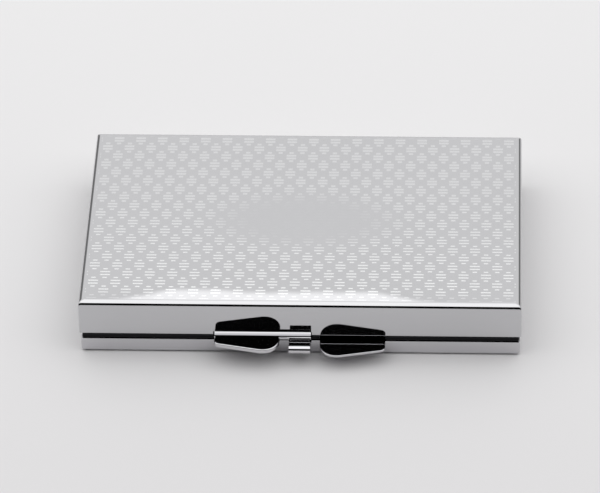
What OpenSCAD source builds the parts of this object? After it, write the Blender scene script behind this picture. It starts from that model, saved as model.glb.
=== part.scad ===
// Business card case: a chrome-plated steel box in two shells, hinged along
// its back edge and held shut by a sprung catch between two thumb tabs.
// Frame: origin at the centre of the flat underside, +X to the right seen
// from the front, +Y to the hinge, +Z up. Millimetres.

/* [Case] */
// Outer width of the lid
case_w = 95; // [92:0.5:110]
// Outer depth of the lid, without the tabs and the hinge barrel
case_d = 60; // [58:0.5:75]
// Height of the closed case
case_h = 13.9; // [13:0.05:18]
// Radius of the rounded edge all round the top
top_edge_r = 1.25; // [1:0.05:1.6]
// Radius of the upright corners in plan
corner_r = 0.5; // [0.3:0.05:0.8]
// Sheet thickness of the lid shell
lid_wall = 0.6; // [0.5:0.05:0.7]

/* [Base] */
// How far the base stands in from the lid on each side
base_inset = 0.25; // [0.2:0.05:0.3]
// Height of the base shell's wall
base_wall_h = 3.64; // [3.5:0.02:3.9]
// Sheet thickness of the base shell
base_wall = 0.5; // [0.4:0.05:0.55]
// Radius of the rounded edge round the underside
base_edge_r = 0.8; // [0.6:0.05:1]
// Thickness of the base frame's flange and of the base tab
flange_t = 0.52; // [0.45:0.01:0.55]
// How far the lip inside the lid stands above the flange
lip_rise = 2.42; // [1.5:0.02:2.45]

/* [Seam] */
// Gap between the flange and the lid shell's lower edge
seam_gap = 1.15; // [1.05:0.05:1.2]
// Clearance between the flange and the lid frame that closes on it
seat_gap = 0.05; // [0.03:0.01:0.1]

/* [Clasp] */
// Length of each thumb tab along the front
tab_len = 14.1; // [12:0.1:16]
// How far each tab starts from the middle of the front
tab_start = 4.25; // [4.1:0.05:5]
// Radius of a tab's broad inner end
tab_inner_r = 3.8; // [3:0.1:4]
// Radius of a tab's narrow outer end
tab_outer_r = 1.2; // [1:0.1:1.5]
// Taper of a tab's front edge, in degrees
tab_taper = 11.6; // [8:0.1:14]
// Reach of the lid tab in front of the lid shell
lid_tab_reach = 5.75; // [5:0.05:6]
// Reach of the base tab in front of the lid shell
base_tab_reach = 5.36; // [5:0.02:6]
// Sheet thickness of the lid clasp strip, which is hemmed double at its tab
clasp_t = 0.53; // [0.5:0.01:0.55]
// Height of the lid tab's top face
lid_tab_top = 5.85; // [5.8:0.05:6]
// Inside radius of the bend between the clasp strip's leg and its tab
clasp_bend_r = 2.1; // [2:0.05:2.3]
// Width of the sprung catch
catch_w = 4.6; // [4:0.1:5]
// Radius of the catch's curled end
curl_r = 0.95; // [0.9:0.01:0.97]

/* [Hinge] */
// Length of the hinge
hinge_len = 78; // [60:1:82]
// Number of knuckles, shared between base and lid
knuckles = 7; // [5:2:9]
// Outer radius of the hinge barrel
barrel_r = 0.85; // [0.8:0.01:0.88]
// Radius of the hinge pin
pin_r = 0.35; // [0.3:0.01:0.38]
// Thickness of both hinge leaves
leaf_t = 0.35; // [0.3:0.01:0.35]

/* [Card spring] */
// Width of the card spring
spring_w = 44; // [30:1:60]
// Length of its sloping leaf
spring_len = 31; // [24:1:34]
// Slope of the relaxed leaf below the lid liner, in degrees
spring_slope = 5; // [3:0.5:6]
// Sheet thickness of the card spring
spring_t = 0.35; // [0.25:0.05:0.4]

/* [Hidden] */
$fn = 48;

over = 1;                 // how far a cutting shape runs past what it cuts
touch = 0.05;             // clearance where two moving or nested sheets pass
slip = 0.02;              // clearance of a rivet in its hole

chrome = "#c9ccd0";
satin = "#b4b7ba";
steel = "#9b9ea2";

// Heights
flange_z = base_wall_h;
flange_top = flange_z + flange_t;
lid_edge_z = flange_top + seam_gap;
lip_top = flange_top + lip_rise;
ceiling_z = case_h - lid_wall;
frame_t = 0.5;
frame_top = ceiling_z - (top_edge_r - lid_wall) - 0.1;
liner_t = 0.3;

// Front and back planes
front = -case_d / 2;
back = case_d / 2;
lid_in = lid_wall;                          // lid shell's inner face, in from the outside
frame_in = lid_wall + frame_t;              // lid frame's inner face
skirt_out = base_inset + base_wall;         // base frame's skirt, outer face
skirt_t = 0.45;
skirt_in = skirt_out + skirt_t;
flange_out = base_inset + 0.3;
lip_out = frame_in + 0.25;
lip_t = 0.4;
lip_in = lip_out + lip_t;

// Hinge axis
axis_y = back - 0.6;
axis_z = (flange_top + lid_edge_z) / 2;
bore_r = pin_r + 0.03;
knuckle_gap = 0.12;
knuckle_len = hinge_len / knuckles;
web_t = 0.4;
lid_leaf_bottom = axis_z + 1.17;
lid_leaf_h = 4;
base_leaf_bottom = 1;
base_leaf_top = 3.48;

// Clasp
bend_y = front + frame_in - clasp_bend_r;                       // where the strip's bend runs out level
bend_z = lid_tab_top + clasp_bend_r;
clasp_x0 = -(tab_start + tab_len);
clasp_x1 = catch_w / 2 + 0.1;
leg_h = 2.6;
arm_reach = 1.45;
arm_edge_r = clasp_t / 2;
hook_w = catch_w - 0.4;
hook_drop = 1.05;
hook_y = front - arm_reach;
leg_y = front + frame_in;

// Sprung catch
catch_t = 0.4;
curl_y = front - 3.27;
curl_z = 4.15;
strip_z = curl_z - curl_r;
pivot_y = front + 1;
pivot_z = strip_z + catch_t / 2;
curl_lip_y = hook_y - 0.15;                 // where the curl's flat lip ends, before the hook

// Card spring
spring_root_y = 20;
spring_root_len = 7;
liner_z = ceiling_z - liner_t;
finger_gap = 8;
tip_r = 2.2;

// Rivets
rivet_r = 0.5;
head_r = 0.9;
head_t = 0.25;
hinge_rivet_x = [for (i = [-2:2]) i * 15];
clasp_rivet_x = [-16, -8, 0];
base_tab_rivet_x = [7.5, 15];
catch_rivet_x = [-2.6, 2.6];
spring_rivet_x = [-16, 0, 16];
clasp_rivet_z = bend_z + 1.4;
base_rivet_z = 2;
hinge_rivet_lid_z = lid_leaf_bottom + 2.2;
spring_rivet_y = spring_root_y + spring_root_len / 2;

// Rectangle of w by d with rounded corners
module plate_2d(w, d, r) {
  square([w - 2 * r, d], center = true);
  square([w, d - 2 * r], center = true);
  for (sx = [-1, 1], sy = [-1, 1])
    translate([sx * (w / 2 - r), sy * (d / 2 - r)]) circle(r);
}

// Upright section of a tray: square at the bottom, two round corners on top
module arch_2d(w, h, r) {
  translate([-w / 2, 0]) square([w, h - r]);
  translate([-w / 2 + r, 0]) square([w - 2 * r, h]);
  for (s = [-1, 1]) translate([s * (w / 2 - r), h - r]) circle(r);
}

// Block with its upright corners rounded, and its upper edges rounded and mitred
module eased_block(w, d, h, edge, corner) {
  intersection() {
    rotate([90, 0, 90]) translate([0, 0, -w]) linear_extrude(2 * w) arch_2d(d, h, edge);
    rotate([90, 0, 0]) translate([0, 0, -d]) linear_extrude(2 * d) arch_2d(w, h, edge);
    linear_extrude(h) plate_2d(w, d, corner);
  }
}

// Upright ring following the case's outline, from in1 to in2 inside the lid's outside
module ring(in1, in2, z0, z1) {
  translate([0, 0, z0]) linear_extrude(z1 - z0) difference() {
    plate_2d(case_w - 2 * in1, case_d - 2 * in1, max(corner_r - in1, 0.25));
    square([case_w - 2 * in2, case_d - 2 * in2], center = true);
  }
}

// Box given by its two corners
module block(low, high) {
  translate(low) cube(high - low);
}

// Rod along Y from y0 to y1
module rod_y(x, z, r, y0, y1) {
  translate([x, y1, z]) rotate([90, 0, 0]) cylinder(r = r, h = y1 - y0);
}

// Rod along X from x0 to x1
module rod_x(y, z, r, x0, x1) {
  translate([x0, y, z]) rotate([0, 90, 0]) cylinder(r = r, h = x1 - x0);
}

// Rivets with a flat head at head_y and a shank to tail_y
module rivets_y(xs, z, head_y, tail_y) {
  out = head_y < tail_y ? -head_t : head_t;
  for (x = xs) {
    rod_y(x, z, rivet_r, min(head_y, tail_y), max(head_y, tail_y));
    rod_y(x, z, head_r, min(head_y, head_y + out), max(head_y, head_y + out));
  }
}

module rivet_holes_y(xs, z, y0, y1) {
  for (x = xs) rod_y(x, z, rivet_r + slip, y0, y1);
}

// Space that the clasp strip takes through the lid's front wall and frame
module clasp_slot() {
  difference() {
    block([clasp_x0 - 0.3, front - over, 0], [clasp_x1 + 0.2, leg_y + over, bend_z]);
    rod_x(bend_y, bend_z, clasp_bend_r - touch, -case_w, case_w);
  }
}

// Opening along the back for the hinge barrel
module hinge_slot(z0, z1) {
  block([-hinge_len / 2 - 0.3, back - 3, z0], [hinge_len / 2 + 0.3, back + over, z1]);
}

// Outline of a thumb tab, in [along, reach], its root at reach 0
module tab_2d(reach, root) {
  set_in = 0.004;          // the straight edge cuts the two round ends, so they join cleanly
  c_in = [tab_inner_r, reach - tab_inner_r];
  n = [sin(tab_taper), cos(tab_taper)];
  t_in = c_in + (tab_inner_r - set_in) * n;
  t_out_x = tab_len - tab_outer_r + tab_outer_r * n[0];
  t_out = [t_out_x, t_in[1] - tan(tab_taper) * (t_out_x - t_in[0])];
  c_out = t_out - (tab_outer_r - set_in) * n;
  out_x = c_out[0] + tab_outer_r;
  difference() {
    union() {
      translate(c_in) circle(tab_inner_r);
      translate(c_out) circle(tab_outer_r);
      polygon([[0, -root - over], [0, c_in[1]], c_in, t_in, t_out, c_out, [out_x, c_out[1]], [out_x, -root - over]]);
    }
    translate([-over, -root - 2 * tab_inner_r]) square([tab_len + 2 * over, 2 * tab_inner_r]);
  }
}

// Lid -----------------------------------------------------------------

module lid_shell() {
  inner_r = top_edge_r - lid_wall;
  color(chrome) difference() {
    eased_block(case_w, case_d, case_h, top_edge_r, corner_r);
    eased_block(case_w - 2 * lid_in, case_d - 2 * lid_in, ceiling_z, inner_r, 0.2);
    block([-case_w, -case_d, -over], [case_w, case_d, lid_edge_z]);
    clasp_slot();
    hinge_slot(0, axis_z + 1.12);
  }
}

module lid_frame() {
  color(satin) difference() {
    ring(lid_in, frame_in, flange_top + seat_gap, frame_top);
    clasp_slot();
    hinge_slot(0, axis_z + 1.17);
    rivet_holes_y(clasp_rivet_x, clasp_rivet_z, front, leg_y + over);
    rivet_holes_y(hinge_rivet_x, hinge_rivet_lid_z, back - frame_in - over, back);
  }
}

module lid_liner() {
  margin = 2 * top_edge_r;
  color(satin) difference() {
    translate([0, 0, liner_z]) linear_extrude(liner_t)
      plate_2d(case_w - margin - 0.4, case_d - margin - 0.4, 1);
    for (x = spring_rivet_x)
      translate([x, spring_rivet_y, liner_z - over]) cylinder(r = rivet_r + slip, h = 3);
  }
}

module lid_clasp() {
  arm_y = front - arm_reach + arm_edge_r;
  color(chrome) {
    difference() {
      block([clasp_x0, leg_y, bend_z], [clasp_x1, leg_y + clasp_t, bend_z + leg_h]);
      rivet_holes_y(clasp_rivet_x, clasp_rivet_z, leg_y - over, leg_y + over);
    }
    intersection() {
      difference() {
        rod_x(bend_y, bend_z, clasp_bend_r + clasp_t, clasp_x0, clasp_x1);
        rod_x(bend_y, bend_z, clasp_bend_r, clasp_x0 - over, clasp_x1 + over);
      }
      block([clasp_x0, bend_y, 0], [clasp_x1, leg_y + over, bend_z]);
    }
    block([clasp_x0, arm_y, lid_tab_top - clasp_t], [clasp_x1, bend_y, lid_tab_top]);
    rod_x(arm_y, lid_tab_top - arm_edge_r, arm_edge_r, clasp_x0, clasp_x1);
    translate([-tab_start, front, lid_tab_top - 2 * clasp_t]) rotate(180)
      linear_extrude(2 * clasp_t) difference() {
        tab_2d(lid_tab_reach, 0);
        translate([-over, -over]) square([tab_len + 2 * over, over + front - bend_y]);
      }
    block([-hook_w / 2, hook_y, lid_tab_top - clasp_t - hook_drop],
          [hook_w / 2, hook_y + clasp_t, lid_tab_top - clasp_t]);
    block([-hook_w / 2, hook_y, lid_tab_top - clasp_t], [hook_w / 2, arm_y, lid_tab_top - 0.1]);
  }
}

module lid_clasp_rivets() {
  color(steel) rivets_y(clasp_rivet_x, clasp_rivet_z, leg_y + clasp_t, front + lid_in);
}

module hinge_knuckles(first) {
  for (i = [first : 2 : knuckles - 1]) {
    x0 = -hinge_len / 2 + i * knuckle_len + knuckle_gap / 2;
    rod_x(axis_y, axis_z, barrel_r, x0, x0 + knuckle_len - knuckle_gap);
  }
}

module hinge_webs(first, z0, z1) {
  y0 = axis_y - barrel_r;
  for (i = [first : 2 : knuckles - 1]) {
    x0 = -hinge_len / 2 + i * knuckle_len + knuckle_gap / 2;
    block([x0, y0, z0], [x0 + knuckle_len - knuckle_gap, y0 + web_t, z1]);
  }
}

module hinge_bore() {
  rod_x(axis_y, axis_z, bore_r, -case_w, case_w);
}

module lid_hinge_leaf() {
  y1 = back - frame_in;
  color(chrome) difference() {
    union() {
      hinge_knuckles(1);
      hinge_webs(1, axis_z, lid_leaf_bottom);
      block([-hinge_len / 2, y1 - leaf_t, lid_leaf_bottom],
            [hinge_len / 2, y1, lid_leaf_bottom + lid_leaf_h]);
    }
    hinge_bore();
    rivet_holes_y(hinge_rivet_x, hinge_rivet_lid_z, y1 - over, y1 + over);
  }
}

module lid_hinge_rivets() {
  color(steel) rivets_y(hinge_rivet_x, hinge_rivet_lid_z, back - frame_in - leaf_t, back - lid_in);
}

// Card spring, under the lid liner --------------------------------------

module card_spring_root() {
  color(satin) difference() {
    translate([0, spring_rivet_y, liner_z - spring_t]) linear_extrude(spring_t)
      plate_2d(spring_w, spring_root_len, 1);
    for (x = spring_rivet_x)
      translate([x, spring_rivet_y, liner_z - 2 * over]) cylinder(r = rivet_r + slip, h = 3);
  }
}

module card_spring_rivets() {
  color(steel) for (x = spring_rivet_x) translate([x, spring_rivet_y, 0]) {
    translate([0, 0, liner_z - spring_t]) cylinder(r = rivet_r, h = ceiling_z - liner_z + spring_t);
    translate([0, 0, liner_z - spring_t - head_t]) cylinder(r = head_r, h = head_t);
  }
}

// One finger of the leaf in its own plane: along -Y, with a tip that turns up
module spring_finger(w) {
  translate([-w / 2, -spring_len, 0]) cube([w, spring_len, spring_t]);
  intersection() {
    translate([-w / 2, -spring_len, tip_r + spring_t]) rotate([0, 90, 0]) difference() {
      cylinder(r = tip_r + spring_t, h = w);
      translate([0, 0, -over]) cylinder(r = tip_r, h = w + 2 * over);
    }
    translate([-w / 2, -spring_len - 1.3, -over]) cube([w, 1.3, tip_r]);
  }
}

module card_spring_leaf() {
  w = (spring_w - finger_gap) / 2;
  joint_gap = 0.05;
  color(satin) translate([0, spring_root_y - joint_gap, liner_z - spring_t])
    rotate([spring_slope, 0, 0]) {
      for (s = [-1, 1]) translate([s * (w + finger_gap) / 2, 0, 0]) spring_finger(w);
      translate([-spring_w / 2, -5, 0]) cube([spring_w, 5, spring_t]);
    }
}

// Base ----------------------------------------------------------------

module base_shell() {
  w = case_w - 2 * base_inset;
  d = case_d - 2 * base_inset;
  inner_r = base_edge_r - base_wall;
  color(chrome) difference() {
    translate([0, 0, base_wall_h]) mirror([0, 0, 1])
      eased_block(w, d, base_wall_h, base_edge_r, corner_r);
    translate([0, 0, base_wall_h + over]) mirror([0, 0, 1])
      eased_block(w - 2 * base_wall, d - 2 * base_wall, base_wall_h + over - base_wall, inner_r, 0.2);
    block([-catch_w / 2 - 0.15, front - over, strip_z - 0.2],
          [catch_w / 2 + 0.15, front + skirt_out + over, base_wall_h + over]);
  }
}

module base_liner() {
  color(satin) translate([0, 0, base_wall]) linear_extrude(liner_t)
    plate_2d(case_w - 2 * skirt_out - 0.8, case_d - 2 * skirt_out - 0.8, 0.5);
}

module base_frame() {
  skirt_bottom = base_wall + liner_t;
  color(satin) difference() {
    union() {
      ring(skirt_out, skirt_in, skirt_bottom, flange_z + 0.1);
      ring(flange_out, lip_in, flange_z, flange_top);
      ring(lip_out, lip_in, flange_z, lip_top);
    }
    // no lip along the back, where the hinge leaves stand
    block([-case_w, back - 3, flange_top], [case_w, back, lip_top + over]);
    hinge_slot(base_leaf_top - 0.35, lip_top);
    // slots for the base tab and the catch strip
    block([tab_start - 0.1, front - over, flange_z - touch],
          [tab_start + tab_len + 0.1, front + lip_in + over, flange_top + touch]);
    block([-catch_w / 2 - 0.15, front - over, strip_z - 0.2],
          [catch_w / 2 + 0.15, front + skirt_in + over, flange_z]);
    rivet_holes_y(base_tab_rivet_x, base_rivet_z, front, front + skirt_in + over);
    rivet_holes_y(catch_rivet_x, base_rivet_z, front, front + skirt_in + over);
    rivet_holes_y(hinge_rivet_x, base_rivet_z, back - skirt_in - over, back);
  }
}

module base_tab() {
  leg_y1 = front + skirt_in;
  tab_leg_t = 0.45;
  color(chrome) difference() {
    union() {
      // drawn for the right half: the broad end faces the middle of the front
      translate([tab_start, front, flange_z]) mirror([0, 1, 0])
        linear_extrude(flange_t) tab_2d(base_tab_reach, skirt_in + tab_leg_t);
      block([tab_start + 0.4, leg_y1, 1], [tab_start + tab_len - 0.4, leg_y1 + tab_leg_t, flange_z]);
    }
    rivet_holes_y(base_tab_rivet_x, base_rivet_z, leg_y1 - over, leg_y1 + over);
  }
}

module base_tab_rivets() {
  color(steel) rivets_y(base_tab_rivet_x, base_rivet_z, front + skirt_in + 0.45, front + skirt_out);
}

module catch_root() {
  y0 = front + skirt_in;
  color(chrome) difference() {
    union() {
      block([-3.9, y0, 1], [3.9, y0 + catch_t, strip_z]);
      block([-catch_w / 2, pivot_y, strip_z], [catch_w / 2, y0 + catch_t, strip_z + catch_t]);
    }
    rivet_holes_y(catch_rivet_x, base_rivet_z, y0 - over, y0 + over);
  }
}

module catch_rivets() {
  color(steel) rivets_y(catch_rivet_x, base_rivet_z, front + skirt_in + catch_t, front + skirt_out);
}

module catch_tongue() {
  x0 = -catch_w / 2;
  x1 = catch_w / 2;
  color(chrome) {
    block([x0, curl_y, strip_z], [x1, pivot_y - touch, strip_z + catch_t]);
    block([x0, curl_y, curl_z + curl_r - catch_t], [x1, curl_lip_y, curl_z + curl_r]);
    difference() {
      rod_x(curl_y, curl_z, curl_r, x0, x1);
      rod_x(curl_y, curl_z, curl_r - catch_t, x0 - over, x1 + over);
      // the curl stays open at its back
      block([x0 - over, curl_y, curl_z - 3], [x1 + over, curl_y + 3, curl_z + 3]);
    }
  }
}

module base_hinge_leaf() {
  y0 = back - skirt_in - leaf_t;
  color(chrome) difference() {
    union() {
      hinge_knuckles(0);
      hinge_webs(0, base_leaf_top, axis_z);
      for (i = [0 : 2 : knuckles - 1]) {
        x0 = -hinge_len / 2 + i * knuckle_len + knuckle_gap / 2;
        block([x0, y0, base_leaf_top - 0.3], [x0 + knuckle_len - knuckle_gap, axis_y - barrel_r + web_t, base_leaf_top]);
      }
      block([-hinge_len / 2, y0, base_leaf_bottom], [hinge_len / 2, y0 + leaf_t, base_leaf_top]);
    }
    hinge_bore();
    rivet_holes_y(hinge_rivet_x, base_rivet_z, y0 - over, y0 + over);
  }
}

module base_hinge_rivets() {
  color(steel) rivets_y(hinge_rivet_x, base_rivet_z, back - skirt_in - leaf_t, back - skirt_out);
}

module hinge_pin() {
  color(steel) rod_x(axis_y, axis_z, pin_r, -hinge_len / 2 - 0.1, hinge_len / 2 + 0.1);
}

lid_shell();
lid_frame();
lid_liner();
lid_clasp();
lid_clasp_rivets();
lid_hinge_leaf();
lid_hinge_rivets();
card_spring_root();
card_spring_rivets();
card_spring_leaf();
base_shell();
base_frame();
base_liner();
base_tab();
base_tab_rivets();
catch_root();
catch_rivets();
catch_tongue();
base_hinge_leaf();
base_hinge_rivets();
hinge_pin();
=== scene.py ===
"""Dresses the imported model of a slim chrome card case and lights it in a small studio.

Sizes in the classes' fields are millimetres, and MM turns them into metres where a
mesh is made. The case stands on its base at the origin, with +Y towards its hinge.
"""

from __future__ import annotations

import logging
import math
from dataclasses import dataclass
from enum import Enum
from typing import Callable, Sequence

import bmesh
import bpy
from mathutils import Matrix, Vector


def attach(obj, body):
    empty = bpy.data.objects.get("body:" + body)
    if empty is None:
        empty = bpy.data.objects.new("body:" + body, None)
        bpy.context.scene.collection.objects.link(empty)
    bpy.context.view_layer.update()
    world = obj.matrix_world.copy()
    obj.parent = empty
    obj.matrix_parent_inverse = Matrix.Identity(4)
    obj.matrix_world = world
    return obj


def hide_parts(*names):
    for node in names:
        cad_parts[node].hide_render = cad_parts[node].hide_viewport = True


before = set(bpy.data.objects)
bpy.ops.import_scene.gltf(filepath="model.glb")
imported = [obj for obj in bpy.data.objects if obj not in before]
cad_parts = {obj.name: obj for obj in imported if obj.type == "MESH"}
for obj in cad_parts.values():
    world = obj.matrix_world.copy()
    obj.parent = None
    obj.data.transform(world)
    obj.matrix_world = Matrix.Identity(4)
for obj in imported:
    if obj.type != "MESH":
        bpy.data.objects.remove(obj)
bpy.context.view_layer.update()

MM = 0.001
NEAR = 2e-6
LOG = logging.getLogger("card_case")

LID_W, LID_D, CASE_H = 95.0, 60.0, 13.9
FRONT, BACK = -LID_D / 2, LID_D / 2
BASE_INSET = 0.25

Point = Sequence[float]
Test = Callable[..., bool]


# Bench tools ----------------------------------------------------------------


class Pick(Enum):
    """What a selection holds."""

    CORNERS = "VERT"
    EDGES = "EDGE"
    FACES = "FACE"


class Bench:
    """Holds one mesh while it is shaped.

    A method that picks elements leaves the mesh in edit mode, so the next
    operator works on the picked ones; done() returns to object mode.
    """

    def __init__(self, name: str) -> None:
        """Takes the newly added, active object under a new name."""
        self.obj: bpy.types.Object = bpy.context.object
        self.obj.name = name
        self.obj.data.name = name
        bpy.ops.object.transform_apply(location=True, rotation=True, scale=True)

    @staticmethod
    def clear() -> None:
        """Leaves edit mode and deselects every object."""
        if bpy.context.object and bpy.context.object.mode != "OBJECT":
            bpy.ops.object.mode_set(mode="OBJECT")
        bpy.ops.object.select_all(action="DESELECT")

    @classmethod
    def block(cls, name: str, low: Point, high: Point) -> "Bench":
        """Adds a block between two corners.

        Args:
            name: The object's name.
            low: The lowest corner, in millimetres.
            high: The highest corner, in millimetres.

        Returns:
            The bench that holds the block.
        """
        cls.clear()
        middle = [(a + b) / 2 * MM for a, b in zip(low, high)]
        bpy.ops.mesh.primitive_cube_add(size=1, location=middle)
        bpy.context.object.scale = [(b - a) * MM for a, b in zip(low, high)]
        return cls(name)

    @classmethod
    def sheet(cls, name: str, low: Point, high: Point, z: float) -> "Bench":
        """Adds a flat rectangle at height z between two corners in plan."""
        cls.clear()
        middle = [(a + b) / 2 * MM for a, b in zip(low, high)] + [z * MM]
        bpy.ops.mesh.primitive_plane_add(size=1, location=middle)
        bpy.context.object.scale = [(b - a) * MM for a, b in zip(low, high)] + [1]
        return cls(name)

    @classmethod
    def hoop(
        cls, name: str, x: float, y: float, z: float, r: float, steps: int
    ) -> "Bench":
        """Adds an unfilled circle about an axis along X.

        Args:
            name: The object's name.
            x: The circle's place along X, in millimetres.
            y: Its centre's Y.
            z: Its centre's Z.
            r: Its radius.
            steps: How many edges it has.

        Returns:
            The bench that holds the circle.
        """
        cls.clear()
        bpy.ops.mesh.primitive_circle_add(
            vertices=steps, radius=r * MM, fill_type="NOTHING",
            location=(x * MM, y * MM, z * MM), rotation=(0, math.pi / 2, 0),
        )
        return cls(name)

    def hold(self) -> None:
        """Makes the piece active and the only one selected, in object mode."""
        self.clear()
        bpy.context.view_layer.objects.active = self.obj
        self.obj.select_set(True)

    def pick(self, kind: Pick, test: Test) -> None:
        """Selects, in edit mode, the elements that pass a test, and nothing else.

        Args:
            kind: Corners, edges or faces.
            test: Called with each element; true selects it.

        Raises:
            ValueError: No element passes the test.
        """
        if self.obj.mode != "EDIT":
            self.hold()
            bpy.ops.object.mode_set(mode="EDIT")
        bpy.ops.mesh.select_mode(type=kind.value)
        bpy.ops.mesh.select_all(action="DESELECT")
        mesh = bmesh.from_edit_mesh(self.obj.data)
        found = {
            Pick.CORNERS: mesh.verts, Pick.EDGES: mesh.edges, Pick.FACES: mesh.faces,
        }[kind]
        count = 0
        for item in found:
            if test(item):
                item.select_set(True)
                count += 1
        mesh.select_flush_mode()
        bmesh.update_edit_mesh(self.obj.data)
        if not count:
            raise ValueError(f"{self.obj.name}: nothing picked")

    def bevel(self, width: float, steps: int, corners: bool = False) -> None:
        """Rounds what is picked by width millimetres, in that many steps."""
        bpy.ops.mesh.bevel(
            offset=width * MM, segments=steps, profile=0.5, clamp_overlap=False,
            affect="VERTICES" if corners else "EDGES", miter_outer="SHARP",
        )

    def move(self, x: float = 0, y: float = 0, z: float = 0) -> None:
        """Moves what is picked, in millimetres."""
        bpy.ops.transform.translate(value=(x * MM, y * MM, z * MM))

    def extrude(self, x: float = 0, y: float = 0, z: float = 0) -> None:
        """Extrudes the picked edges, corners or faces, in millimetres."""
        bpy.ops.mesh.extrude_region_move(
            TRANSFORM_OT_translate={"value": (x * MM, y * MM, z * MM)}
        )

    def remove(self, kind: Pick, test: Test) -> None:
        """Deletes the elements that pass a test."""
        self.pick(kind, test)
        bpy.ops.mesh.delete(type=kind.value)

    def face_outwards(self) -> None:
        """Merges doubles and turns every face outwards."""
        self.pick(Pick.CORNERS, lambda v: True)
        bpy.ops.mesh.remove_doubles(threshold=1e-7)
        bpy.ops.mesh.select_all(action="SELECT")
        bpy.ops.mesh.normals_make_consistent(inside=False)

    def done(self) -> bpy.types.Object:
        """Returns to object mode and gives the object."""
        if self.obj.mode == "EDIT":
            bpy.ops.object.mode_set(mode="OBJECT")
        return self.obj

    def modify(self, kind: str, **settings: object) -> None:
        """Adds a modifier with settings and applies it.

        Args:
            kind: The modifier's type.
            **settings: Its properties.
        """
        self.done()
        self.hold()
        modifier = self.obj.modifiers.new(kind.lower(), kind)
        for key, value in settings.items():
            setattr(modifier, key, value)
        bpy.ops.object.modifier_apply(modifier=modifier.name)

    def thicken(self, thickness: float, offset: float) -> None:
        """Gives a surface its sheet thickness, in millimetres; offset -1 goes inwards."""
        self.modify(
            "SOLIDIFY", thickness=thickness * MM, offset=offset,
            use_even_offset=True, use_quality_normals=True,
        )

    def combine(self, other: "Bench", cut: bool) -> None:
        """Cuts another piece out of this one, or adds it, and removes the other."""
        tool = other.done()
        self.modify(
            "BOOLEAN", object=tool, solver="EXACT",
            operation="DIFFERENCE" if cut else "UNION",
        )
        bpy.data.objects.remove(tool, do_unlink=True)

    def smooth(self, angle: float = 32) -> None:
        """Shades the piece smooth, with creases sharper than angle degrees kept."""
        self.done()
        self.hold()
        bpy.ops.object.shade_smooth_by_angle(angle=math.radians(angle))
        # flat faces keep their own normals, so they mirror like flat sheet
        self.modify("WEIGHTED_NORMAL", mode="FACE_AREA", weight=50, keep_sharp=True)


def at(value: float, target: float) -> bool:
    """True where a coordinate in metres is at a place in millimetres."""
    return abs(value - target * MM) < NEAR


def level(edge: bmesh.types.BMEdge, z: float) -> bool:
    """True for an edge that lies at height z, in millimetres."""
    return all(at(v.co.z, z) for v in edge.verts)


def on_mitre(edge: bmesh.types.BMEdge, w: float, d: float) -> bool:
    """True for an edge in the upright plane that halves a corner of a w by d box."""
    a, b = (v.co for v in edge.verts)
    one_corner = a.x * b.x > 0 and a.y * b.y > 0
    return one_corner and all(
        abs((abs(c.x) - w / 2 * MM) - (abs(c.y) - d / 2 * MM)) < 5e-6 for c in (a, b)
    )


# Finishes --------------------------------------------------------------------

Socket = bpy.types.NodeSocket


@dataclass(frozen=True)
class Fade:
    """A soft change of strength along a measure.

    Attributes:
        start: The measure where the change begins.
        end: The measure where it ends.
        before: Strength before the change.
        after: Strength after it.
    """

    start: float
    end: float
    before: float = 0.0
    after: float = 1.0


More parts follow.
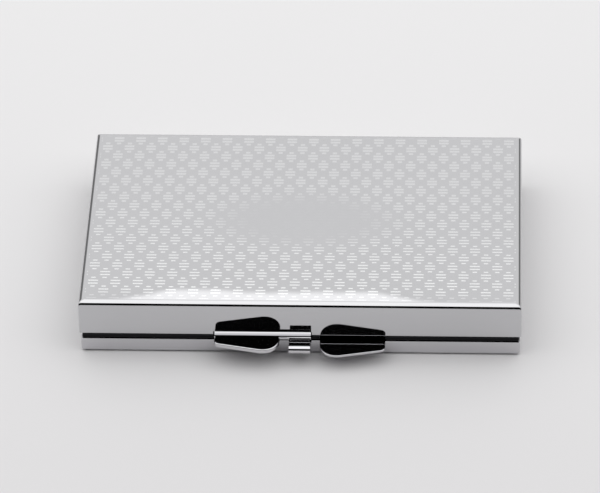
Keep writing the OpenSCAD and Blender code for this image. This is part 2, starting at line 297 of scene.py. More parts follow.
class Graph:
    """Writes a material's or the world's nodes in code."""

    def __init__(self, tree: bpy.types.NodeTree) -> None:
        """Starts with an empty tree."""
        self.tree = tree
        self.tree.nodes.clear()

    def add(
        self, kind: str, links: dict[str | int, object] | None = None, **fields: object
    ) -> bpy.types.Node:
        """Adds a node.

        Args:
            kind: The node's type.
            links: Input name or number to a socket or a value.
            **fields: The node's properties.

        Returns:
            The node.
        """
        node = self.tree.nodes.new(kind)
        for key, value in fields.items():
            setattr(node, key, value)
        for key, value in (links or {}).items():
            self.join(value, node.inputs[key])
        return node

    def join(self, value: object, target: Socket) -> None:
        """Links a socket to an input, or sets the input to a value."""
        if isinstance(value, bpy.types.NodeSocket):
            self.tree.links.new(value, target)
        else:
            target.default_value = value

    def math(self, operation: str, a: object, b: object = 0.0, c: object = 0.0) -> Socket:
        """Adds a Math node.

        Args:
            operation: The node's operation.
            a: First operand.
            b: Second operand.
            c: Third operand.

        Returns:
            Its output.
        """
        return self.add(
            "ShaderNodeMath", {0: a, 1: b, 2: c}, operation=operation
        ).outputs[0]

    def length(self, x: object, y: object) -> Socket:
        """Gives the length of a plane vector."""
        return self.math(
            "SQRT", self.math("MULTIPLY_ADD", x, x, self.math("MULTIPLY", y, y))
        )

    def split(self, vector: Socket, scale: float = 1.0) -> list[Socket]:
        """Gives a vector's X, Y and Z, each multiplied by scale unless it is 1."""
        axes = self.add("ShaderNodeSeparateXYZ", {0: vector}).outputs
        return [a if scale == 1.0 else self.math("MULTIPLY", a, scale) for a in axes]

    def ramp(
        self, value: object, low: object, high: object,
        to_low: float = 0.0, to_high: float = 1.0, soft: bool = True,
    ) -> Socket:
        """Maps a range to another, clamped, with a soft step or a straight line."""
        ends = {"From Min": low, "From Max": high, "To Min": to_low, "To Max": to_high}
        node = self.add(
            "ShaderNodeMapRange", {"Value": value, **ends},
            interpolation_type="SMOOTHSTEP" if soft else "LINEAR",
        )
        return node.outputs["Result"]

    def fade(self, value: object, fade: Fade) -> Socket:
        """Gives a fade's strength at a value."""
        return self.ramp(value, fade.start, fade.end, fade.before, fade.after)

    def noise(
        self, where: object, scale: float, detail: float = 3.0, rough: float = 0.5
    ) -> Socket:
        """Adds a noise texture and gives its value."""
        return self.add(
            "ShaderNodeTexNoise",
            {"Vector": where, "Scale": scale, "Detail": detail, "Roughness": rough},
        ).outputs["Fac"]

    def stretched(self, where: object, x: float, y: float, z: float) -> Socket:
        """Scales a vector along each axis."""
        return self.add(
            "ShaderNodeMapping", {"Vector": where, "Scale": (x, y, z)}, vector_type="POINT"
        ).outputs[0]

    def tint(self, amount: object, low: Point, high: Point) -> Socket:
        """Mixes two colours."""
        node = self.add("ShaderNodeMix", {"Factor": amount}, data_type="RGBA")
        node.inputs[6].default_value = (*low, 1)
        node.inputs[7].default_value = (*high, 1)
        return node.outputs[2]


@dataclass(frozen=True)
class Metal:
    """A bare or plated metal, with handling marks that the light picks out.

    Attributes:
        name: The material's name.
        bright: Its colour where it is cleanest.
        dull: Its colour where it is hazed.
        gloss: Roughness where it is cleanest.
        haze: Roughness where it is hazed.
        grain: Strength of the brushed grain, 0 for none.
        across: Direction of the grain: (1, 30, 30) runs along X.
        ripple: Height of the long, shallow waves of thin sheet, in millimetres.
    """

    name: str
    bright: tuple[float, float, float]
    dull: tuple[float, float, float]
    gloss: float
    haze: float
    grain: float = 0.0
    across: tuple[float, float, float] = (1, 30, 30)
    ripple: float = 0.0

    def build(self) -> bpy.types.Material:
        """Makes the material.

        Returns:
            The material, or the one made before.
        """
        made = bpy.data.materials.get(self.name)
        if made:
            return made
        material = bpy.data.materials.new(self.name)
        material.use_nodes = True
        graph = Graph(material.node_tree)
        where = graph.add("ShaderNodeTexCoord").outputs["Object"]
        color, rough, height = self.surface(graph, where)
        bump = graph.add(
            "ShaderNodeBump", {"Strength": 1.0, "Distance": MM, "Height": height}
        )
        normal = self.sag(graph, where, bump.outputs[0])
        shader = graph.add(
            "ShaderNodeBsdfPrincipled",
            {"Base Color": color, "Metallic": 1.0, "Roughness": rough, "Normal": normal},
        )
        graph.add("ShaderNodeOutputMaterial", {"Surface": shader.outputs[0]})
        return material

    def sag(self, graph: Graph, where: Socket, normal: Socket) -> Socket:
        """Gives the normal of the metal's large shape, which is flat for most pieces."""
        return normal

    def surface(self, graph: Graph, where: Socket) -> tuple[Socket, Socket, Socket]:
        """Adds the metal's own nodes.

        Args:
            graph: The material's graph.
            where: Object coordinates.

        Returns:
            Colour, roughness and height in millimetres.
        """
        # wiped smears a few centimetres wide, and hair scratches along X
        smear = graph.ramp(graph.noise(where, 40, 2, 0.5), 0.35, 0.8)
        hair = graph.noise(graph.stretched(where, 60, 1400, 1400), 1.0, 2)
        scratch = graph.ramp(hair, 0.70, 0.74)
        hazed = graph.math("MULTIPLY", smear, 0.5)
        marked = graph.math("MULTIPLY_ADD", scratch, 0.5, hazed)
        lines = graph.stretched(where, *(150 * a for a in self.across))
        brushed = graph.noise(lines, 1.0, 4, 0.7)
        streak = graph.math("SUBTRACT", brushed, 0.5)
        amount = graph.math("MULTIPLY_ADD", streak, self.grain * 2, marked)
        color = graph.tint(amount, self.bright, self.dull)
        rough = graph.ramp(amount, 0, 1, self.gloss, self.haze, soft=False)
        waves = graph.math("MULTIPLY", graph.noise(where, 28, 1), self.ripple)
        height = graph.math("MULTIPLY_ADD", brushed, self.grain * 0.004, waves)
        return color, rough, height


@dataclass(frozen=True)
class EtchedMetal(Metal):
    """Polished metal whose top carries a fine etched pattern of dashes and dots.

    The pattern is a stagger of small motifs, two dashes with a dot above and
    below, on lines that run across the case.

    Attributes:
        frosted: The colour of an etched mark.
        mark_rough: The roughness of an etched mark.
        pitch: Spacing of the motifs along a line.
        line: Spacing of the lines.
        start_x: Place of the pattern along X.
        start_y: Place of the first line.
        dash: Length of a dash.
        dot: Length of a dot.
        weight: Height of a mark.
        half_w: Half the width of the patterned field.
        half_d: Half its depth.
        top: Height above which the pattern shows.
        washout_w: Half the width of the oval in the middle where the marks are
            thinned, painted light where the plate's reflection washes them out.
        washout_d: Half its depth.
        washout_y: Its middle along Y.
        blur: Width over which a mark's end fades in.
        grow_from: Place along Y where the marks begin to grow taller.
        grow_to: Place where they stop growing.
        rear_half: Half their height there, as a share of the line spacing.
        washout: Strength of the marks by their distance from the oval's middle,
            as a share of its size; the weak middle is painted light.
        y_fade: Strength by the place along Y, falling towards the hinge.
        lead_in: Further strength at the very front.
        sag_x: Middle of the plate's fall along X.
        sag_edge: Place along Y where the fall begins, by the distance from
            that middle.
        sag_slope: The fall at 1 mm in front of that place.
    """

    frosted: tuple[float, float, float] = (0.88, 0.885, 0.89)
    mark_rough: float = 0.28
    pitch: float = 4.828
    line: float = 0.985
    start_x: float = 3.60
    start_y: float = -26.93
    dash: float = 2.15
    dot: float = 0.95
    weight: float = 0.38
    half_w: float = 46.3
    half_d: float = 28.6
    top: float = 12.8
    # the oval below is painted light: the marks are thinned there as the plate's reflection
    # washes them out
    washout_w: float = 19.5
    washout_d: float = 9.0
    washout_y: float = -1.0
    blur: float = 0.16
    grow_from: float = -12.0
    grow_to: float = 14.0
    rear_half: float = 0.34
    washout: Fade = Fade(0.55, 1.35, 0.04, 1.0)
    y_fade: Fade = Fade(-26.0, 14.0, 0.97, 0.36)
    lead_in: Fade = Fade(-27.8, -25.4, 0.4, 1.0)
    sag_x: float = -6.0
    sag_edge: Fade = Fade(20.0, 38.0, -23.9, -27.6)
    sag_slope: float = -0.055

    def surface(self, graph: Graph, where: Socket) -> tuple[Socket, Socket, Socket]:
        """Adds the etched marks to the polished metal.

        Args:
            graph: The material's graph.
            where: Object coordinates.

        Returns:
            Colour, roughness and height in millimetres.
        """
        color, rough, height = super().surface(graph, where)
        x, y, z = graph.split(where, 1 / MM)
        mark = graph.math("MULTIPLY", self.marks(graph, x, y), self.field(graph, x, y, z))
        etched = graph.add("ShaderNodeMix", {"Factor": mark, 6: color}, data_type="RGBA")
        etched.inputs[7].default_value = (*self.frosted, 1)
        rougher = graph.math("SUBTRACT", self.mark_rough, rough)
        grit = graph.math("MULTIPLY", graph.noise(where, 9000, 1), 0.0006)
        dip = graph.math("MULTIPLY", graph.math("SUBTRACT", grit, 0.0015), mark)
        return (
            etched.outputs[2],
            graph.math("MULTIPLY_ADD", rougher, mark, rough),
            graph.math("ADD", height, dip),
        )

    def sag(self, graph: Graph, where: Socket, normal: Socket) -> Socket:
        """Lets the plate's shading fall slightly towards the middle of its front edge.

        The fall starts along a wandering line that bends forward at both ends, and
        grows with the square of the distance in front of it.

        Args:
            graph: The material's graph.
            where: Object coordinates.
            normal: The normal of the etched surface.

        Returns:
            The normal with the plate's fall added, on the plate only.
        """
        x, y, z = graph.split(where, 1 / MM)
        wander = graph.math("MULTIPLY_ADD", graph.noise(where, 60, 2), 2.4, -1.2)
        along = graph.math("ABSOLUTE", graph.math("SUBTRACT", x, self.sag_x))
        edge = graph.math("ADD", graph.fade(along, self.sag_edge), wander)
        into = graph.math("MAXIMUM", graph.math("SUBTRACT", edge, y), 0.0)
        fall = graph.math("MULTIPLY", graph.math("MULTIPLY", into, into), self.sag_slope)
        on_plate = graph.ramp(z, CASE_H - 0.012, CASE_H - 0.002)
        return graph.add(
            "ShaderNodeBump",
            {"Strength": on_plate, "Distance": MM, "Height": fall, "Normal": normal},
        ).outputs[0]

    def marks(self, graph: Graph, x: Socket, y: Socket) -> Socket:
        """Adds the dashes and dots.

        Args:
            graph: The material's graph.
            x: Place along X in millimetres.
            y: Place along Y in millimetres.

        Returns:
            1 on a mark and 0 off it.
        """
        row = graph.math("DIVIDE", graph.math("SUBTRACT", y, self.start_y), self.line)
        count = graph.math("FLOOR", row)
        within = graph.math("SUBTRACT", graph.math("SUBTRACT", row, count), 0.5)
        off_line = graph.math("ABSOLUTE", within)
        front_half = self.weight / self.line / 2
        half = graph.ramp(y, self.grow_from, self.grow_to, front_half, self.rear_half)
        on_line = graph.ramp(
            off_line, graph.math("ADD", half, 0.05), graph.math("SUBTRACT", half, 0.05)
        )
        # of each three lines two hold dashes and one holds dots, and every other
        # three are shifted by half a pitch
        is_dot = graph.math("COMPARE", graph.math("FLOORED_MODULO", count, 3.0), 2.0, 0.25)
        shifted = graph.math("GREATER_THAN", graph.math("FLOORED_MODULO", count, 6.0), 2.5)
        along = graph.math("DIVIDE", graph.math("SUBTRACT", x, self.start_x), self.pitch)
        dashes = graph.math("MULTIPLY_ADD", shifted, 0.5, along)
        dash = self.stroke(graph, dashes, self.pitch, self.dash)
        dots = graph.math("MULTIPLY_ADD", along, 2.0, 0.5)
        dot = self.stroke(graph, dots, self.pitch / 2, self.dot)
        shape = graph.math("MULTIPLY_ADD", graph.math("SUBTRACT", dot, dash), is_dot, dash)
        return graph.math("MULTIPLY", shape, on_line)

    def stroke(self, graph: Graph, turns: Socket, pitch: float, length: float) -> Socket:
        """Adds a mark of a length, in millimetres, in the middle of each pitch."""
        within = graph.math("SUBTRACT", graph.math("FRACT", turns), 0.5)
        off = graph.math("ABSOLUTE", within)
        half, soft = length / pitch / 2, self.blur / 2 / pitch
        return graph.ramp(off, half + soft, half - soft)

    def field(self, graph: Graph, x: Socket, y: Socket, z: Socket) -> Socket:
        """Limits the pattern to the top plate and thins it in places.

        An oval is left nearly plain in the middle, painted light where the plate's
        reflection washes the marks out, and the marks fade towards the hinge and
        at the very front.

        Args:
            graph: The material's graph.
            x: Place along X in millimetres.
            y: Place along Y in millimetres.
            z: Height in millimetres.

        Returns:
            How strongly the marks show, 0 to 1.
        """
        side = graph.ramp(graph.math("ABSOLUTE", x), self.half_w, self.half_w - 0.3)
        end = graph.ramp(graph.math("ABSOLUTE", y), self.half_d, self.half_d - 0.3)
        above = graph.ramp(z, self.top, self.top + 0.1)
        inside = graph.math("MULTIPLY", graph.math("MULTIPLY", side, end), above)
        oval_x = graph.math("DIVIDE", x, self.washout_w)
        oval_y = graph.math("DIVIDE", graph.math("SUBTRACT", y, self.washout_y), self.washout_d)
        # painted light: the marks thin out in the middle oval, where the plate's reflection
        # washes them out
        thin = graph.fade(graph.length(oval_x, oval_y), self.washout)
        y_fade = graph.math(
            "MULTIPLY", graph.fade(y, self.y_fade), graph.fade(y, self.lead_in)
        )
        return graph.math("MULTIPLY", inside, graph.math("MULTIPLY", thin, y_fade))


class Finish(Enum):
    """The finishes of this case."""

    CHROME = Metal(
        "polished_chrome", (0.60, 0.595, 0.615), (0.575, 0.57, 0.59), 0.025, 0.07,
        ripple=0.0012,
    )
    ETCHED = EtchedMetal(
        "etched_plate", (0.575, 0.575, 0.588), (0.56, 0.56, 0.572), 0.035, 0.09,
        ripple=0.0012,
    )
    LINER = Metal(
        "brushed_liner", (0.62, 0.62, 0.62), (0.55, 0.55, 0.56), 0.34, 0.46,
        grain=0.25, across=(1, 40, 40),
    )
    # near-black metal: painted shade, so the seam between lid and base shows dark where the
    # real case has only shadow and the dark room's reflection
    FRAME = Metal(
        "shade_dark_frame", (0.018, 0.018, 0.020), (0.014, 0.014, 0.015), 0.04, 0.07,
    )
    SPRING = Metal(
        "spring_sheet", (0.52, 0.53, 0.55), (0.46, 0.47, 0.49), 0.3, 0.42,
        grain=0.25, across=(30, 1, 30),
    )
    STEEL = Metal(
        "bright_steel", (0.50, 0.50, 0.50), (0.38, 0.38, 0.39), 0.14, 0.3,
        grain=0.15, across=(30, 30, 30),
    )


def dress(piece: bpy.types.Object, finish: Finish) -> None:
    """Gives a piece one finish all over."""
    piece.data.materials.clear()
    piece.data.materials.append(finish.value.build())


def finish_piece(
    bench: Bench, finish: Finish, body: str, slot: str, *nodes: str
) -> bpy.types.Object:
    """Dresses a shaped piece and lets it ride in place of its nodes.

    Args:
        bench: The bench that holds the piece.
        finish: Its finish.
        body: The body that it moves with.
        slot: Not used.
        *nodes: The nodes that it stands for.

    Returns:
        The piece.
    """
    piece = bench.done()
    dress(piece, finish)
    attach(piece, body)
    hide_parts(*nodes)
    LOG.info("%s: %d faces, on %s", piece.name, len(piece.data.polygons), body)
    return piece


# The case --------------------------------------------------------------------


@dataclass
class LidShell:
    """The patterned top and its four folded walls.

    Attributes:
        w: Outer width.
        d: Outer depth.
        top: Height of the closed case.
        edge: Height of the walls' lower edge.
        wall: Sheet thickness.
        fold: Chamfer that the two radii of the top fold are laid on.
        shoulder: Width of the long, soft bend on the plate's side of the chamfer.
        bend: Width of the tighter bend below it. The two widths together stay
            just under the chamfer's own width.
        corner: Radius of the upright corners.
        rim: Radius of the walls' lower edge.
        clasp_x: Ends of the clasp's slot along X.
        clasp_top: Height of that slot behind the wall.
        clasp_fall: How far the slot's top falls towards the front.
        barrel_x: Half the width of the hinge barrel's opening.
        barrel_y: How far that opening runs in from the back.
        barrel_top: Its height.
    """

    w: float = LID_W
    d: float = LID_D
    top: float = CASE_H
    edge: float = 5.31
    wall: float = 0.6
    fold: float = 0.717
    shoulder: float = 0.6
    bend: float = 0.413
    corner: float = 0.32
    rim: float = 0.16
    clasp_x: tuple[float, float] = (-18.65, 2.6)
    clasp_top: float = 7.01
    clasp_fall: float = 1.7
    barrel_x: float = 39.3
    barrel_y: float = 1.5
    barrel_top: float = 5.86

    def build(self) -> bpy.types.Object:
        """Shapes the shell.

        Returns:
            The finished shell.
        """
        w, d = self.w / 2, self.d / 2
        bench = Bench.block("lid_plate", (-w, -d, self.edge), (w, d, self.top))
        bench.remove(Pick.FACES, lambda f: f.normal.z < -0.9)
        bench.pick(Pick.EDGES, lambda e: level(e, self.top))
        bench.bevel(self.fold, 1)
        bench.pick(Pick.EDGES, lambda e: level(e, self.top))
        bench.bevel(self.shoulder, 9)
        low = self.top - self.fold
        bench.pick(Pick.EDGES, lambda e: level(e, low))
        bench.bevel(self.bend, 9)
        bench.pick(Pick.EDGES, self.on_corner)
        bench.bevel(self.corner, 5)
        self.divide_plate(bench)
        bench.thicken(self.wall, -1)
        bench.pick(Pick.EDGES, lambda e: level(e, self.edge) and e.calc_face_angle(0) > 1)
        bench.bevel(self.rim, 3)
        bench.combine(self.clasp_slot(), cut=True)
        bench.combine(self.hinge_slot(), cut=True)
        bench.smooth()
        return finish_piece(bench, Finish.ETCHED, "lid", "etched_chrome", "lid_shell")

    def on_corner(self, edge: bmesh.types.BMEdge) -> bool:
        """True for an edge on one of the four upright corners or the mitres above them."""
        lowest = min(v.co.z for v in edge.verts)
        return on_mitre(edge, self.w, self.d) and lowest < (self.top - 0.05) * MM

    def divide_plate(self, bench: Bench) -> None:
        """Divides the flat plate into a grid of small, even faces."""
        bench.pick(Pick.FACES, lambda f: f.normal.z > 0.999 and f.calc_area() > 1e-3)
        bpy.ops.mesh.subdivide(number_cuts=30)

    def clasp_slot(self) -> Bench:
        """Gives the cutter for the clasp strip's way through the front wall."""
        outside = FRONT - 1
        low = (self.clasp_x[0], outside, 4)
        high = (self.clasp_x[1], FRONT + 1, self.clasp_top)
        cutter = Bench.block("clasp_cutter", low, high)
        cutter.pick(
            Pick.CORNERS, lambda v: at(v.co.y, outside) and at(v.co.z, self.clasp_top)
        )
        cutter.move(z=-self.clasp_fall)
        return cutter

    def hinge_slot(self) -> Bench:
        """Gives the cutter for the hinge barrel's opening."""
        low = (-self.barrel_x, BACK - self.barrel_y, 3)
        return Bench.block("hinge_cutter", low, (self.barrel_x, BACK + 1, self.barrel_top))


@dataclass
class BaseShell:
    """The shallow tray.

    Attributes:
        w: Outer width.
        d: Outer depth.
        rim: Height of its rim.
        wall: Sheet thickness.
        fold: Radius round the underside.
        corner: Radius of the upright corners.
        catch_x: Half the width of the catch's notch.
        catch_z: Height of the notch's floor.
    """

    w: float = LID_W - 2 * BASE_INSET
    d: float = LID_D - 2 * BASE_INSET
    rim: float = 3.64
    wall: float = 0.5
    fold: float = 0.8
    corner: float = 0.32
    catch_x: float = 2.45
    catch_z: float = 3.0

    def build(self) -> bpy.types.Object:
        """Shapes the tray.

        Returns:
            The finished tray.
        """
        w, d = self.w / 2, self.d / 2
        bench = Bench.block("base_tray", (-w, -d, 0), (w, d, self.rim))
        bench.remove(Pick.FACES, lambda f: f.normal.z > 0.9)
        bench.pick(Pick.EDGES, lambda e: level(e, 0))
        bench.bevel(self.fold, 8)
        bench.pick(Pick.EDGES, self.on_corner)
        bench.bevel(self.corner, 5)
        bench.thicken(self.wall, -1)
        bench.pick(Pick.EDGES, lambda e: level(e, self.rim) and e.calc_face_angle(0) > 1)
        bench.bevel(0.07, 3)
        low = (-self.catch_x, -d - 1, self.catch_z)
        bench.combine(Bench.block("catch_cutter", low, (self.catch_x, -d + 1, 5)), cut=True)
        bench.smooth()
        return finish_piece(bench, Finish.CHROME, "base", "chrome", "base_shell")

    def on_corner(self, edge: bmesh.types.BMEdge) -> bool:
        """True for an edge on an upright corner or the mitre below it."""
        highest = max(v.co.z for v in edge.verts)
        return on_mitre(edge, self.w, self.d) and highest > 0.05 * MM


@dataclass
class ThumbTab:
    """The outline that both thumb tabs share.

    A tab is broad and round by the catch, and narrow outside.

    Attributes:
        reach: Reach in front of the lid at the broad end.
        root: How far in front of the lid the tab begins, negative behind it.
        start: Distance of its broad end from the middle of the front.
        length: Length along the front.
        taper: Slope of the front edge, in degrees.
        broad: Radius of the broad end.
        narrow: Radius of the narrow end.
    """

    reach: float
    root: float
    start: float = 4.25
    length: float = 14.1
    taper: float = 11.6
    broad: float = 3.8
    narrow: float = 1.2

    def build(
        self, name: str, side: int, top: float, thickness: float, rim: float
    ) -> Bench:
        """Shapes a tab with rounded rims.

        Args:
            name: The object's name.
            side: 1 for the tab on the right, -1 for the left.
            top: Height of its upper face.
            thickness: Sheet thickness.
            rim: Radius of its rim.

        Returns:
            The bench that holds the tab.
        """
        near, far = side * self.start, side * (self.start + self.length)
        tilt = math.radians(self.taper)
        # where the broad end's corner would be if it were sharp
        past = self.broad * (1 / math.cos(tilt) - 1 + math.tan(tilt))
        sharp_y = FRONT - (self.reach + past)
        root_y = FRONT - self.root
        drop = self.length * math.tan(tilt)
        bench = Bench.sheet(name, (min(near, far), sharp_y), (max(near, far), root_y), top)
        bench.pick(Pick.CORNERS, lambda v: at(v.co.x, far) and at(v.co.y, sharp_y))
        bench.move(y=drop)
        bench.pick(Pick.CORNERS, lambda v: at(v.co.x, near) and at(v.co.y, sharp_y))
        bench.bevel(self.broad / math.tan((math.pi / 2 - tilt) / 2), 18, corners=True)
        bench.pick(Pick.CORNERS, lambda v: at(v.co.x, far) and at(v.co.y, sharp_y + drop))
        bench.bevel(self.narrow / math.tan((math.pi / 2 + tilt) / 2), 10, corners=True)
        bench.pick(Pick.FACES, lambda f: True)
        bench.extrude(z=-thickness)
        bench.face_outwards()
        bench.pick(
            Pick.EDGES,
            lambda e: (level(e, top) or level(e, top - thickness))
            and not all(at(v.co.y, root_y) for v in e.verts),
        )
        bench.bevel(rim, 5)
        return bench


@dataclass
class LidClasp:
    """The strip bent out through the lid's front wall, with its tab, arm and hook.

    Attributes:
        x0: Its left end.
        x1: Its right end.
        sheet: Sheet thickness.
        top: Height of the arm's and the tab's upper face.
        bend_y: Place of the bend's axis.
        bend_r: Radius of the bend's upper face.
        leg: Height of the leg above the bend.
        arm: How far the arm reaches in front of the lid.
        nose: Radius of the arm's upper front edge.
        edge: Radius of the other edges.
        hook_x: Half the hook's width.
        hook_y: Place of the hook's rear face.
        hook_z: Height of its lower face.
    """

    x0: float = -18.35
    x1: float = 2.4
    sheet: float = 0.53
    top: float = 5.85
    bend_y: float = -31.0
    bend_r: float = 2.1
    leg: float = 2.6
    arm: float = 1.45
    nose: float = 0.22
    edge: float = 0.05
    hook_x: float = 2.1
    hook_y: float = -30.92
    hook_z: float = 4.27

    def build(self) -> bpy.types.Object:
        """Shapes the clasp.

        Returns:
            The finished clasp.
        """
        front = FRONT - self.arm
        middle = self.bend_r + self.sheet / 2
        bend_z = self.top + self.bend_r
        bench = Bench.hoop("lid_clasp_strip", self.x0, self.bend_y, bend_z, middle, 96)
        bench.remove(
            Pick.CORNERS,
            lambda v: v.co.y < self.bend_y * MM - NEAR or v.co.z > bend_z * MM + NEAR,
        )
        bench.pick(Pick.CORNERS, lambda v: at(v.co.z, bend_z))
        bench.extrude(z=self.leg)
        bench.pick(Pick.CORNERS, lambda v: at(v.co.y, self.bend_y))
        bench.extrude(y=front - self.bend_y)
        bench.pick(Pick.EDGES, lambda e: True)
        bench.extrude(x=self.x1 - self.x0)
        bench.face_outwards()
        bench.thicken(self.sheet, 0)
        bench.face_outwards()
        bench.pick(
            Pick.EDGES,
            lambda e: all(at(v.co.y, front) for v in e.verts) and level(e, self.top),
        )
        bench.bevel(self.nose, 5)
        bench.pick(Pick.EDGES, lambda e: e.calc_face_angle(0) > 1)
        bench.bevel(self.edge, 2)
        tab = ThumbTab(reach=5.72, root=1.0)
        bench.combine(tab.build("tab_blank", -1, self.top, 2 * self.sheet, 0.24), cut=False)
        bench.combine(self.hook(front), cut=False)
        bench.smooth(40)
        return finish_piece(bench, Finish.CHROME, "lid", "chrome", "lid_clasp")

    def hook(self, front: float) -> Bench:
        """Gives the hook that hangs under the arm, flush with the arm's front."""
        low = (-self.hook_x, front, self.hook_z)
        high = (self.hook_x, self.hook_y, self.top - self.sheet / 2)
        hook = Bench.block("hook_blank", low, high)
        hook.pick(Pick.EDGES, lambda e: True)
        hook.bevel(0.08, 2)
        return hook


@dataclass
class BaseTab:
    """The base's thumb tab, with the leg that is riveted behind the front wall.

    Attributes:
        top: Height of its upper face.
        sheet: Sheet thickness.
        leg_low: Lower, outer corner of the leg next to the catch.
        leg_high: The opposite corner in plan.
        leg_sink: How far the leg stops below the tab's upper face.
    """

    top: float = 4.16
    sheet: float = 0.52
    leg_low: tuple[float, float, float] = (4.65, -28.8, 1.0)
    leg_high: tuple[float, float] = (17.95, -28.35)
    leg_sink: float = 0.2

    def build(self) -> bpy.types.Object:
        """Shapes the tab.

        Returns:
            The finished tab.
        """
        shape = ThumbTab(reach=5.36, root=-1.65)
        bench = shape.build("base_thumb_tab", 1, self.top, self.sheet, 0.13)
        high = (*self.leg_high, self.top - self.leg_sink)
        leg = Bench.block("leg_blank", self.leg_low, high)
        leg.pick(Pick.EDGES, lambda e: True)
        leg.bevel(0.08, 2)
        bench.combine(leg, cut=False)
        bench.smooth(40)
        return finish_piece(bench, Finish.CHROME, "base", "chrome", "base_tab")


@dataclass
class CatchTongue:
    """The sprung strip whose end is curled over to hold the hook.

    Attributes:
        w: Its width.
        sheet: Sheet thickness.
        y: Place of the curl's centre along Y.
        z: Height of the curl's centre.
        r: The curl's outer radius.
        root: Place along Y where the strip springs from.
        lip: Place along Y where the curl's flat lip ends.
    """

    w: float = 4.6
    sheet: float = 0.4
    y: float = -33.27
    z: float = 4.15
    r: float = 0.95
    root: float = -29.05
    lip: float = -31.6

    def build(self) -> bpy.types.Object:
        """Shapes the tongue.

        Returns:
            The finished tongue.
        """
        middle = self.r - self.sheet / 2
        bench = Bench.hoop("catch_curl", -self.w / 2, self.y, self.z, middle, 72)
        bench.remove(Pick.CORNERS, lambda v: v.co.y > self.y * MM + NEAR)
        bench.pick(Pick.CORNERS, lambda v: at(v.co.y, self.y) and v.co.z > self.z * MM)
        bench.extrude(y=self.lip - self.y)
        bench.pick(Pick.CORNERS, lambda v: at(v.co.y, self.y) and v.co.z < self.z * MM)
        bench.extrude(y=self.root - self.y)
        bench.pick(Pick.EDGES, lambda e: True)
        bench.extrude(x=self.w)
        bench.face_outwards()
        bench.thicken(self.sheet, 0)
        bench.face_outwards()
        bench.pick(Pick.EDGES, lambda e: e.calc_face_angle(0) > 1)
        bench.bevel(0.04, 2)
        bench.smooth(40)
        return finish_piece(bench, Finish.CHROME, "catch", "chrome", "catch_tongue")


@dataclass
class InnerMetal:
    """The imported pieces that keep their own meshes, each with its finish."""

    finishes: tuple[tuple[str, Finish], ...] = (
        ("lid_frame", Finish.FRAME), ("base_frame", Finish.FRAME),
        ("lid_liner", Finish.LINER), ("base_liner", Finish.LINER),
        ("card_spring_root", Finish.SPRING), ("card_spring_leaf", Finish.SPRING),
        ("card_spring_rivets", Finish.STEEL), ("catch_root", Finish.CHROME),
        ("catch_rivets", Finish.STEEL), ("base_tab_rivets", Finish.STEEL),
        ("lid_clasp_rivets", Finish.STEEL), ("lid_hinge_rivets", Finish.STEEL),
        ("base_hinge_rivets", Finish.STEEL), ("lid_hinge_leaf", Finish.CHROME),
        ("base_hinge_leaf", Finish.CHROME), ("hinge_pin", Finish.STEEL),
    )

    def build(self) -> None:
        """Dresses each piece."""
        for node, finish in self.finishes:
            dress(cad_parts[node], finish)
            LOG.info("%s: %s", node, finish.value.name)


# Studio ------------------------------------------------------------------------


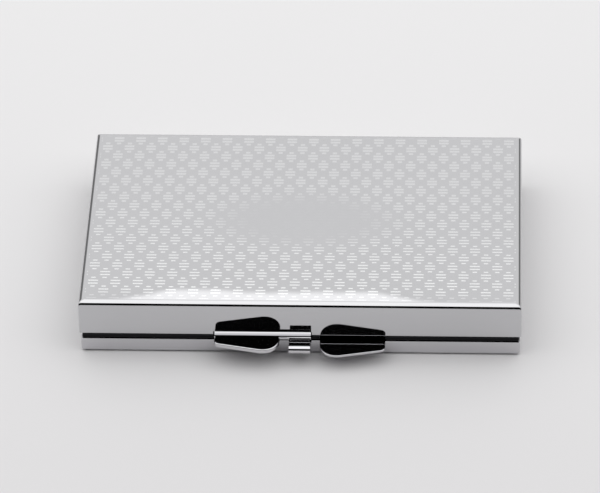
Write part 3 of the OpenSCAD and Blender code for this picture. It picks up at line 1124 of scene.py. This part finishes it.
@dataclass
class Studio:
    """Floor, light and camera.

    Attributes:
        yaw: Turn of the view away from +Y, in degrees, negative to the left.
        fall: How far the view looks down, in degrees.
        roll: Roll of the camera, in degrees.
        away: Distance from the camera to its aim, in millimetres.
        aside: Aim's place to the right.
        above: Aim's place upwards in the picture.
        lens: Focal length for the sensor's width.
        sensor: The sensor's width.
        shaded_near_floor: Colour of the table in front of the case, darker as
            painted shade from the light behind.
        lit_far_floor: Its colour behind the case, lighter as painted light.
        floor_light_fade: Change from one to the other along Y, in metres.
        backdrop: Light of the backdrop, by degrees above the horizon behind the
            case. The angle goes on over the top, towards the camera.
        diffuser: Light that the overhead diffuser adds, by the same angle.
        dark_room: Share of the light that is left beyond the camera.
        below: Share that is left below the horizon.
        aside_fade: Where the light falls off to the side, as a share of its
            distance.
        low_fade: How high up it still falls off, likewise.
        side_light: Share of the light that is left there.
    """

    yaw: float = -2.886
    fall: float = 38.826
    roll: float = -1.270
    away: float = 1045.8
    aside: float = -1.073
    above: float = 4.408
    lens: float = 284.69
    sensor: float = 36.0
    shaded_near_floor: tuple[float, float, float] = (0.69, 0.682, 0.69)
    lit_far_floor: tuple[float, float, float] = (0.79, 0.785, 0.79)
    floor_light_fade: Fade = Fade(-0.12, 0.14)
    backdrop: Fade = Fade(0, 16, 0.72, 0.98)
    diffuser: Fade = Fade(52, 80, 0.0, 0.56)
    dark_room: Fade = Fade(134, 129, 0.0015, 1.0)
    below: Fade = Fade(-4, 0, 0.1, 1.0)
    aside_fade: Fade = Fade(0.42, 0.56)
    low_fade: Fade = Fade(0.48, 0.32)
    side_light: float = 0.25

    def build(self) -> None:
        """Sets up the whole studio."""
        self.floor()
        self.room()
        self.camera()
        settings = bpy.context.scene.view_settings
        settings.view_transform = "Standard"
        settings.look = "None"

    def camera(self) -> None:
        """Places the camera."""
        yaw, fall, roll = (math.radians(a) for a in (self.yaw, self.fall, self.roll))
        level_part = math.cos(fall)
        ahead = Vector(
            (math.sin(yaw) * level_part, math.cos(yaw) * level_part, -math.sin(fall))
        )
        right = Vector((math.cos(yaw), -math.sin(yaw), 0))
        up = right.cross(ahead)
        place = -ahead * self.away + right * self.aside + up * self.above
        side = math.cos(roll) * right + math.sin(roll) * up
        head = -math.sin(roll) * right + math.cos(roll) * up
        data = bpy.data.cameras.new("studio_camera")
        data.lens, data.sensor_width = self.lens, self.sensor
        data.clip_start, data.clip_end = 0.05, 20
        camera = bpy.data.objects.new("studio_camera", data)
        turn = Matrix((side, head, -ahead)).transposed().to_4x4()
        camera.matrix_world = Matrix.Translation(place * MM) @ turn
        bpy.context.scene.collection.objects.link(camera)
        bpy.context.scene.camera = camera

    def floor(self) -> None:
        """Lays the pale table top, painted darker towards the front as shade from a light
        behind.
        """
        Bench.clear()
        bpy.ops.mesh.primitive_plane_add(size=6, location=(0, 0, 0))
        floor = bpy.context.object
        floor.name = "floor"
        material = bpy.data.materials.new("pale_table")
        material.use_nodes = True
        graph = Graph(material.node_tree)
        where = graph.add("ShaderNodeTexCoord").outputs["Object"]
        # painted shade and light: the table is darker in front of the case and lighter
        # behind it, for a light that comes from behind
        behind = graph.fade(graph.split(where)[1], self.floor_light_fade)
        blend = graph.math("MULTIPLY_ADD", graph.noise(where, 9, 3), 0.06, behind)
        color = graph.tint(blend, self.shaded_near_floor, self.lit_far_floor)
        shader = graph.add(
            "ShaderNodeBsdfPrincipled", {"Base Color": color, "Roughness": 0.75}
        )
        graph.add("ShaderNodeOutputMaterial", {"Surface": shader.outputs[0]})
        floor.data.materials.append(material)

    def room(self) -> None:
        """Lights the room.

        A pale backdrop stands behind the case and a wide diffuser hangs over it.
        The room beyond the camera is dark, and the light falls off at both sides.
        """
        world = bpy.data.worlds.new("studio_room")
        bpy.context.scene.world = world
        world.use_nodes = True
        graph = Graph(world.node_tree)
        x, y, z = graph.split(graph.add("ShaderNodeTexCoord").outputs["Generated"])
        angle = graph.math("MULTIPLY", graph.math("ARCTAN2", z, y), 180 / math.pi)
        beside = graph.fade(graph.math("ABSOLUTE", x), self.aside_fade)
        beside = graph.math("MULTIPLY", beside, graph.fade(z, self.low_fade))
        sides = graph.fade(beside, Fade(0, 1, 1.0, self.side_light))
        light = graph.math(
            "ADD", graph.fade(angle, self.backdrop), graph.fade(angle, self.diffuser)
        )
        for share in (
            graph.fade(angle, self.dark_room), graph.fade(angle, self.below), sides
        ):
            light = graph.math("MULTIPLY", light, share)
        shader = graph.add(
            "ShaderNodeBackground", {"Color": (1.0, 1.0, 1.0, 1), "Strength": light}
        )
        graph.add("ShaderNodeOutputWorld", {"Surface": shader.outputs[0]})


def main() -> None:
    """Builds the case piece by piece, then the studio."""
    logging.basicConfig(level=logging.INFO, format="%(name)s: %(message)s")
    LidShell().build()
    BaseShell().build()
    LidClasp().build()
    BaseTab().build()
    CatchTongue().build()
    InnerMetal().build()
    Studio().build()


if __name__ == "__main__":
    main()
